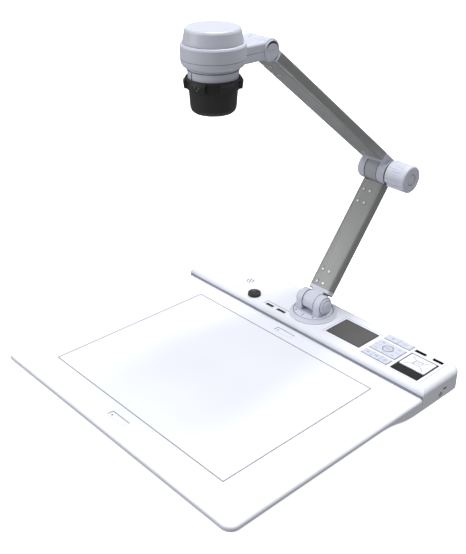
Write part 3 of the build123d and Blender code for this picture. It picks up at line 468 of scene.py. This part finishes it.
def draw(form, shape, numbers, middle, z):
    """One printed mark on a face at height z."""
    low, high = z - CLEAR, z + PRINT_T
    x, y = numbers[0] * MM + middle[0], numbers[1] * MM + middle[1]
    if shape == "bar":
        w, h, turn = numbers[2] * MM / 2, numbers[3] * MM / 2, math.radians(numbers[4])
        place = Matrix.Translation((x, y, 0)) @ Matrix.Rotation(turn, 4, "Z")
        prism(form, rectangle(-w, w, -h, h), low, high, place)
    if shape == "disc":
        prism(form, circle(x, y, numbers[2] * MM), low, high)
    if shape == "ring":
        r, w = numbers[2] * MM, numbers[3] * MM
        hollow_prism(form, circle(x, y, r), circle(x, y, r - w), low, high)
    if shape == "arrow":
        prism(form, circle(x, y, numbers[2] * MM, 3, math.radians(numbers[3])), low, high)
    if shape == "frame":
        w, h, t = numbers[2] * MM / 2, numbers[3] * MM / 2, numbers[4] * MM
        hollow_prism(form, rectangle(x - w, x + w, y - h, y + h),
                     rectangle(x - w + t, x + w - t, y - h + t, y + h - t), low, high)


def print_marks(name, body, shapes, middle, z, mat=PRINT):
    """A set of printed marks about a middle, as one piece."""
    def fill(form):
        for shape, *numbers in shapes:
            draw(form, shape, numbers, middle, z)
    piece(name, fill, body, mat)


SUN = [("disc", 0, 0, 0.8)] + [("bar", 1.7 * math.cos(a), 1.7 * math.sin(a), 0.8, 0.3, math.degrees(a))
                               for a in (k * math.pi / 4 for k in range(8))]
KEY_MARKS = {
    "back_key_1": SUN,
    "back_key_2": [("bar", -1.6, 0, 2.4, 0.45, 0), ("bar", 1.6, 0, 2.4, 0.45, 0)],
    "quad_key_1": [("bar", -2.4, -1.5, 3.0, 0.45, 0), ("arrow", -4.6, -1.5, 0.9, 180)],
    "quad_key_2": [("frame", -2.6, 1.6, 3.0, 2.2, 0.35), ("disc", -2.6, 1.6, 0.4)],
    "quad_key_3": [("ring", 2.6, -1.6, 1.3, 0.35), ("bar", 3.9, -2.9, 1.4, 0.4, -45)],
    "quad_key_4": [("bar", 1.4, 1.8, 0.4, 2.4, 0), ("bar", 3.8, 1.8, 0.4, 2.4, 0),
                   ("bar", 2.6, 0.7, 2.8, 0.4, 0)],
    "front_key_1": [("frame", 0, 0, 3.6, 2.8, 0.35), ("bar", 0, 0, 2.0, 0.35, 0)],
    "front_key_2": [("frame", 0, 0, 4.4, 2.8, 0.35), ("arrow", 0, 0, 1.0, 90)],
    "front_key_3": [("ring", 0, 0, 1.8, 0.4), ("bar", 0, 0.2, 0.4, 2.2, 0)],
    "round_key": [("arrow", -1.1, 0, 1.2, 180), ("arrow", 1.1, 0, 1.2, 0), ("ring", 0, 0, 3.4, 0.3)],
    "nav_key": [("frame", 0, 0, 5.2, 2.4, 0.35)],
}
NAV_MARKS = [("arrow", 0, 10.0, 1.1, 90), ("arrow", 0, -10.0, 1.1, 270), ("arrow", -13.4, 0, 1.1, 180),
             ("arrow", 13.4, 0, 1.1, 0)]
# Painted shade: dark lines along the pad's four diagonal grooves, and a dark frame round its middle key.
NAV_GROOVE_SHADE = [("bar", sx * 9.6, sy * 7.25, 8.6, 0.55, sx * sy * 37) for sx in (-1, 1) for sy in (-1, 1)]
NAV_GROOVE_SHADE.append(("frame", 0, 0, 10.9, 9.5, 0.35))


def key_prints():
    """The generic symbols on the keys and the navigation pad, and painted shade along the pad's grooves."""
    sunk = 0.02 * MM
    for key, shapes in KEY_MARKS.items():
        low, high = [Vector(corner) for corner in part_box(key)]
        print_marks("mark_" + key, key, shapes, (low + high) / 2, high.z)
    low, high = [Vector(corner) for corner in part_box("nav_pad")]
    print_marks("mark_nav_pad", "nav_pad", NAV_MARKS, (low + high) / 2, high.z, FAINT_PRINT_AND_SHADE)
    print_marks("groove_shade_nav_pad", "nav_pad", NAV_GROOVE_SHADE, (low + high) / 2, high.z - sunk, LINE)


def line_frame(form, x0, x1, y0, y1, width, z):
    """A flat printed frame, in millimetres, on a surface at z metres."""
    outer = rectangle(x0 * MM, x1 * MM, y0 * MM, y1 * MM)
    inner = rectangle((x0 + width) * MM, (x1 - width) * MM, (y0 + width) * MM, (y1 - width) * MM)
    hollow_prism(form, outer, inner, z - CLEAR, z + PRINT_T)


def flat_bars(form, bars, low, high):
    """Flat bars, each given by its x and y limits in millimetres, between two heights in metres."""
    for x0, x1, y0, y1 in bars:
        prism(form, rectangle(x0 * MM, x1 * MM, y0 * MM, y1 * MM), low, high)


def keypad_outlines():
    """The shadow line round each row of keys and the dark rim round the navigation pad."""
    around, width, rim = 0.75, 0.5, 1.42
    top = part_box("key_bezel")[1][2]
    rows = (("back_key_1", "back_key_2"), ("quad_key_1", "quad_key_4"), ("front_key_1", "front_key_3"))

    def fill(form):
        for first, last in rows:
            low, high = Vector(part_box(first)[0]) / MM, Vector(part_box(last)[1]) / MM
            line_frame(form, low.x - around, high.x + around, low.y - around, high.y + around, width, top)
    piece("keypad_outlines", fill, "base", LINE)

    low, high = [Vector(corner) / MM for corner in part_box("nav_surround")]
    rim_top = max(top, high.z * MM)
    piece("nav_rim", lambda form: line_frame(form, low.x - 0.4, high.x + 0.6, low.y - 0.4, high.y + 0.5, rim,
                                             rim_top), "base", NAVY_BLACK)


def housing_groove_shade():
    """Painted shade: grey lines in the grooves along the left and back of the screen and of the front
    sockets.
    """
    half = 0.3
    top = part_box("rear_housing")[1][2]
    screen_floor, socket_floor, face = top - 0.31 * MM, top - 0.41 * MM, top + PRINT_T
    low, high = [Vector(corner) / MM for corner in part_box("lcd_window")]
    left, right, back, front = low.x - 3.1, high.x + 2.7, high.y + 3.1, low.y - 1.5
    corner_bars = ((left - half, left + half, front, back), (left, right, back - half, back + half))
    bracket_bars = ((-61.6, -60.9, 73.6, 82.1), (-61.0, -22.0, 81.4, 82.1))
    piece("screen_frame_shade", lambda form: flat_bars(form, corner_bars, screen_floor, face), "base", FAINT_PRINT_AND_SHADE)
    piece("socket_bracket_shade", lambda form: flat_bars(form, bracket_bars, socket_floor, face), "base", LINE)


def turntable_marks():
    """Painted shade in the gap round the turntable, and its index mark and its two dots."""
    disc = Vector(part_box("turntable")[1])
    edge = (disc.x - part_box("turntable")[0][0]) / 2
    ring_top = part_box("swivel_ring")[1][2]
    low, high = ring_top - CLEAR, ring_top + PRINT_T
    outer = circle(HINGE.x, HINGE.y, edge + 1.1 * MM, VERY_FINE)
    inner = circle(HINGE.x, HINGE.y, edge + 0.36 * MM, VERY_FINE)
    piece("turntable_gap_shade", lambda form: hollow_prism(form, outer, inner, low, high), "base", LINE)
    top = ring_top + 0.4 * MM
    dot_r, dot_side, dot_front = 1.18 * MM, 14.5 * MM, 17.5 * MM
    x, y = 0.5, 83.2             # middle of the index mark: an upright with a serif at each end
    stem_half, serif_half, inside, outside = 0.38, 1.15, 1.6, 2.2
    bars = ((x - stem_half, x + stem_half, y - 1.9, y + 1.9),
            (x - serif_half, x + serif_half, y - outside, y - inside),
            (x - serif_half, x + serif_half, y + inside, y + outside))

    def fill(form):
        flat_bars(form, bars, top - 0.31 * MM, top - 0.02 * MM)
        for side in (-dot_side, dot_side):
            prism(form, circle(side, HINGE.y - dot_front, dot_r), top - 0.81 * MM, top - 0.05 * MM)
    piece("turntable_marks", fill, "swivel", SEAM_SHADE_AND_PRINT)


def sound_hole_shade_and_cloth():
    """Black cloth behind the sound holes, black plugs in the holes that paint the shade inside them, and the
    small indicator beside them.
    """
    cloth_r, hole_shade_r, holes_r, indicator_r = 9.2 * MM, 1.26 * MM, 4.5 * MM, 0.68 * MM
    low, high = [Vector(corner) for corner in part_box("speaker")]
    middle = (low + high) / 2
    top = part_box("rear_housing")[1][2]
    holes = circle(middle.x, middle.y, holes_r, 6) + [(middle.x, middle.y)]

    def fill(form):
        prism(form, circle(middle.x, middle.y, cloth_r, 48), high.z - 1.0 * MM, high.z - 0.02 * MM)
        for x, y in holes:
            prism(form, circle(x, y, hole_shade_r), high.z, top - 0.25 * MM)
    piece("speaker_cloth_and_hole_shade", fill, "base", BLACK)
    piece("indicator", lambda form: prism(form, circle(middle.x, 77.5 * MM, indicator_r, 24), top - 1.0 * MM,
                                          top - 0.1 * MM), "base", SEAM_SHADE_AND_PRINT)


def panel_prints():
    """Faint marks on the black strip in front of the navigation pad."""
    low, high = [Vector(corner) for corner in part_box("nav_surround")]
    strip = Vector(((low.x + high.x) / 2, low.y + 8 * MM, 0))
    marks = [("disc", x, 0, 0.5) for x in (-12, -6)] + [("bar", x, 0, 5.0, 0.4, 0) for x in (2, 10)]
    print_marks("mark_strip", "base", marks, strip, high.z, SEAM_SHADE_AND_PRINT)


# ---- the stage ----

def stage_lines():
    """The grey inlay in the capture frame's groove, and the marks in the two tabs."""
    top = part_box("stage_plate")[1][2]
    half_w, half_d, middle_y, width = 150 * MM, 115.5 * MM, -76 * MM, 0.58 * MM
    dot_r = 1.08 * MM
    outer = rectangle(-half_w - width, half_w + width, middle_y - half_d - width, middle_y + half_d + width)
    inner = rectangle(-half_w + width, half_w - width, middle_y - half_d + width, middle_y + half_d - width)
    piece("page_line", lambda form: hollow_prism(form, outer, inner, top - 0.36 * MM, top + 0.02 * MM),
          "base", LINE)
    bars = (("bar", 0, 4.4, 30.0, 0.8, 0), ("bar", -14.9, 1.2, 0.8, 6.4, 0))
    for name, y in (("front_tab", -209.0 * MM), ("back_tab", 52.5 * MM)):
        print_marks(name + "_line", "base", bars, Vector((-2.5 * MM, y, 0)), top - 0.4 * MM, LINE)
        piece(name + "_dot", lambda form: prism(form, circle(-12.5 * MM, y - 0.5 * MM, dot_r),
                                                top - 0.6 * MM, top - 0.02 * MM), "base", SEAM_SHADE_AND_PRINT)


def step_foot_shade():
    """A grey strip that stands in the seam between the stage and the rear housing: painted shade at the foot
    of the step.
    """
    stage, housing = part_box("stage_plate"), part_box("rear_housing")
    front, back = stage[1][1] + 0.05 * MM, housing[0][1] - 0.02 * MM
    left, right = stage[0][0] + 1.6 * MM, stage[1][0] - 0.6 * MM
    low, high = stage[1][2] - 1.5 * MM, stage[1][2] + 3.4 * MM
    piece("step_foot_shade", lambda form: prism(form, rectangle(left, right, front, back), low, high), "base", STEP_SHADE)


# ---- arms ----

def arm_place(origin, angle):
    """Millimetres across the arm, along it, and out of the face with the screws."""
    return Matrix.Translation(origin) @ Matrix.Rotation(angle, 4, "X") @ Matrix.Scale(MM, 4)


def pin_place(x, axis):
    """Millimetres about a hinge's axis, with z along it from x metres."""
    return Matrix.Translation((x, axis.y, axis.z)) @ Matrix.Rotation(QUARTER, 4, "Y") @ Matrix.Scale(MM, 4)


def shade_ring(form, place, outer, inner, thickness):
    """A flat ring about a hinge's axis, for painted shade in a hinge's gaps."""
    hollow_prism(form, circle(0, 0, outer, FINE), circle(0, 0, inner, FINE), 0, thickness, place)


def screw_recess_shade():
    """Painted shade: a dark ring round each screw head."""
    outer, inner, sunk, rise = SCREW_HEAD_R + 0.5, SCREW_HEAD_R - 0.1, 0.01, 0.08
    for name, origin, angle, (columns, rows), face in (
            ("lower_arm", HINGE, LOWER_ANGLE, LOWER_SCREWS, LOWER_FACE),
            ("upper_arm", ELBOW, UPPER_ANGLE, UPPER_SCREWS, UPPER_FACE)):
        place = arm_place(origin, angle)

        def fill(form):
            for x in columns:
                for y in rows:
                    hollow_prism(form, circle(x, y, outer), circle(x, y, inner), face - sunk, face + rise,
                                 place)
        piece(name + "_screw_recess_shade", fill, name, SEAM_SHADE_AND_PRINT)


def hinge_gap_shade():
    """Thin black rings on both sides of each middle knuckle: painted shade, the dark lines between a hinge's
    knuckles.
    """
    for name, axis, body, outer in (("base", HINGE, "swivel", 12.65), ("elbow", ELBOW, "upper_arm", 16.3)):
        def fill(form):
            for start in (-KNUCKLE_HALF - SHADE_RING_GAP - SHADE_RING_T, KNUCKLE_HALF + SHADE_RING_GAP):
                shade_ring(form, pin_place(axis.x + start * MM, axis), outer, SHADE_RING_BORE, SHADE_RING_T)
        piece(name + "_hinge_gap_shade", fill, body, BLACK)


def arm_foot_shade():
    """Painted shade: a black plate under the lower arm's foot, on both sides of its knuckle."""
    inside, outside = 9.6, 15.6
    place = arm_place(HINGE, LOWER_ANGLE)

    def fill(form):
        for x0, x1 in ((-outside, -inside), (inside, outside)):
            prism(form, rectangle(x0, x1, 14.0, 15.08), -11.2, 1.8, place)
    piece("arm_foot_shade", fill, "lower_arm", BLACK)


def knob_groove_shade():
    """Painted shade: a black ring in the groove between the elbow and its knob."""
    place = pin_place(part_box("elbow_knob")[0][0] - 2.5 * MM, ELBOW)
    piece("knob_groove_shade", lambda form: shade_ring(form, place, 16.5, 12.0, 2.45), "upper_arm", BLACK)


def knob_cap_gap_shade():
    """Painted shade in the gap round the cap in the elbow knob."""
    place = pin_place(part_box("elbow_knob")[1][0] - 1.18 * MM, ELBOW)
    piece("knob_cap_gap_shade", lambda form: shade_ring(form, place, 7.38, 6.62, 0.7), "lock_knob", SEAM_SHADE_AND_PRINT)


def lock_slot_shade():
    """Painted shade inside the lock slot."""
    half_w, half_h = 3.2 * MM, 1.5 * MM
    low, high = [Vector(corner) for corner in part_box("lock_plate")]
    middle = (low + high) / 2
    along_x = Matrix(((0, 0, 1, 0), (1, 0, 0, 0), (0, 1, 0, 0), (0, 0, 0, 1)))
    outline = rectangle(middle.y - half_w, middle.y + half_w, middle.z - half_h, middle.z + half_h)
    piece("lock_slot_shade", lambda form: prism(form, outline, high.x - 1 * MM, high.x + 2.5 * MM, along_x),
          "base", SEAM_SHADE_AND_PRINT)


def base_cap_rims():
    """The dark shadow gap behind each cap of the base hinge."""
    low, high = [Vector(corner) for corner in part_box("base_hinge_pin")]

    def fill(form):
        for x in (low.x - 0.2 * MM, high.x - 0.1 * MM):
            shade_ring(form, pin_place(x, HINGE), 10.9, 10.3, 0.5)
    piece("base_cap_rims", fill, "swivel", SEAM_SHADE_AND_PRINT)


# ---- head ----

def head_seam_shade():
    """Painted shade: dark rings in the gaps between the head's shells."""
    ring_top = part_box("yoke_upper_shell")[1][2]
    cap_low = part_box("head_cap")[0][2]
    gap = Vector((LENS_AXIS.x, LENS_AXIS.y, (ring_top + cap_low) / 2))
    piece("cap_seam_shade", lambda form: torus(form, gap, 29.2 * MM, 0.28 * MM), "camera", SEAM_SHADE_AND_PRINT, smooth=True)
    neck = Vector((LENS_AXIS.x, LENS_AXIS.y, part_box("yoke_lower_shell")[0][2] + 1.0 * MM))
    piece("neck_seam_shade", lambda form: torus(form, neck, 26.75 * MM, 0.3 * MM), "yoke", SEAM_SHADE_AND_PRINT, smooth=True)


def yoke_seam_shade():
    """The joint line between the yoke's two shells: a thin dark sheet in the gap that paints its shade."""
    z = HEAD_HINGE.z
    half, ear_inside, thick = 17.9 * MM, 9.6 * MM, 0.19 * MM
    ring_outer, ring_inner = 32.9 * MM, 28.7 * MM
    neck_start = LENS_AXIS.y + 31.0 * MM
    ear_start, ear_end = HEAD_HINGE.y - 13.0 * MM, HEAD_HINGE.y - 3.2 * MM
    outlines = [rectangle(-half, half, neck_start, ear_start),
                rectangle(-half, -ear_inside, ear_start, ear_end),
                rectangle(ear_inside, half, ear_start, ear_end)]

    def fill(form):
        place = Matrix.Translation((LENS_AXIS.x, LENS_AXIS.y, 0))
        hollow_prism(form, circle(0, 0, ring_outer, VERY_FINE), circle(0, 0, ring_inner, VERY_FINE),
                     z - thick, z + thick, place)
        for outline in outlines:
            prism(form, outline, z - thick, z + thick)
    piece("yoke_seam_shade", fill, "yoke", SEAM_SHADE_AND_PRINT)


def cap_crescent_shade():
    """Painted shade: a dark crescent across the top of each cap of the head's hinge."""
    low, high = [Vector(corner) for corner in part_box("head_hinge_caps")]
    outer_r, inner_r, drop = 8.2, 8.6, 2.6           # the crescent's two arcs, and how far apart they stand
    outer_rise, depth, steps = 1.0, 0.6, 24
    reach = math.acos((outer_r ** 2 + drop ** 2 - inner_r ** 2) / (2 * outer_r * drop))
    swing = math.acos((inner_r ** 2 + drop ** 2 - outer_r ** 2) / (2 * inner_r * drop))
    span = math.pi - reach
    outer_arc = [(outer_r * math.sin(a), outer_rise + outer_r * math.cos(a))
                 for a in (span * (2 * i / steps - 1) for i in range(steps + 1))]
    inner_arc = [(inner_r * math.sin(a), outer_rise - drop + inner_r * math.cos(a))
                 for a in (swing * (1 - 2 * i / steps) for i in range(1, steps))]
    face = Matrix.Rotation(QUARTER, 4, "Z") @ Matrix.Rotation(QUARTER, 4, "X") @ Matrix.Scale(MM, 4)

    def fill(form):
        for x in (high.x - 0.7 * MM, low.x + 0.1 * MM):
            place = Matrix.Translation((x, HEAD_HINGE.y, HEAD_HINGE.z)) @ face
            prism(form, outer_arc + inner_arc, 0, depth, place)
    piece("cap_crescent_shade", fill, "yoke", BLACK)


def lens_place(turn, z, out):
    """A place on the lens axis's round walls: z points outwards, out metres from the axis."""
    spin = Matrix.Translation((LENS_AXIS.x, LENS_AXIS.y, z)) @ Matrix.Rotation(math.radians(turn), 4, "Z")
    return spin @ Matrix.Translation((out, 0, 0)) @ Matrix.Rotation(QUARTER, 4, "Y")


def neck_mark():
    """The index line on the camera's neck."""
    half_h, half_w = 3.4 * MM, 0.35 * MM
    place = lens_place(-97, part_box("head_barrel")[0][2] + 5.0 * MM, 26.0 * MM)
    piece("neck_index", lambda form: prism(form, rectangle(-half_h, half_h, -half_w, half_w), -1.0 * MM,
                                           0.25 * MM, place), "camera", SEAM_SHADE_AND_PRINT)


def hood_dots():
    """Three small dots on one of the focus ring's grip pads."""
    dots = ((-79.4, 0.3665), (-73.7, 0.3640), (-69.9, 0.3662))       # turn in degrees, and height

    def fill(form):
        for turn, z in dots:
            prism(form, circle(0, 0, 0.45 * MM, 20), -0.6 * MM, 0.35 * MM, lens_place(turn, z, 30.15 * MM))
    piece("focus_dots", fill, "focus_ring", FAINT_PRINT_AND_SHADE)


def hood_thread():
    """Fine baffle rings inside the hood."""
    count, first_z, pitch = 6, 0.3420, 0.0026
    first_r, growth, minor = 18.95 * MM, 0.31 * MM, 0.45 * MM

    def fill(form):
        for step in range(count):
            middle = Vector((LENS_AXIS.x, LENS_AXIS.y, first_z + pitch * step))
            torus(form, middle, first_r + growth * step, minor, 8)
    piece("hood_baffles", fill, "focus_ring", BLACK, smooth=True)


def soften_edges():
    """Small rounded edges that catch the light."""
    for node, width in (("yoke_upper_shell", 0.25), ("yoke_lower_shell", 0.25), ("elbow_fork", 0.3),
                        ("lower_arm_root", 0.3), ("lower_arm_knuckle", 0.3), ("turntable", 0.25)):
        bevel = frame["nodes"][node].modifiers.new("soft_edges", "BEVEL")
        bevel.width = width * MM
        bevel.segments = 2
        bevel.limit_method = "ANGLE"
        bevel.angle_limit = math.radians(50)


make_camera()
make_world()
make_floor()
make_backdrop()
area_light("side", *SIDE_LIGHT)
area_light("top", *TOP_LIGHT)
scene.view_settings.view_transform = "Standard"
dress_nodes()
key_prints()
panel_prints()
stage_lines()
step_foot_shade()
keypad_outlines()
housing_groove_shade()
turntable_marks()
sound_hole_shade_and_cloth()
screw_recess_shade()
hinge_gap_shade()
arm_foot_shade()
knob_groove_shade()
knob_cap_gap_shade()
lock_slot_shade()
base_cap_rims()
head_seam_shade()
yoke_seam_shade()
cap_crescent_shade()
neck_mark()
hood_dots()
hood_thread()
soften_edges()
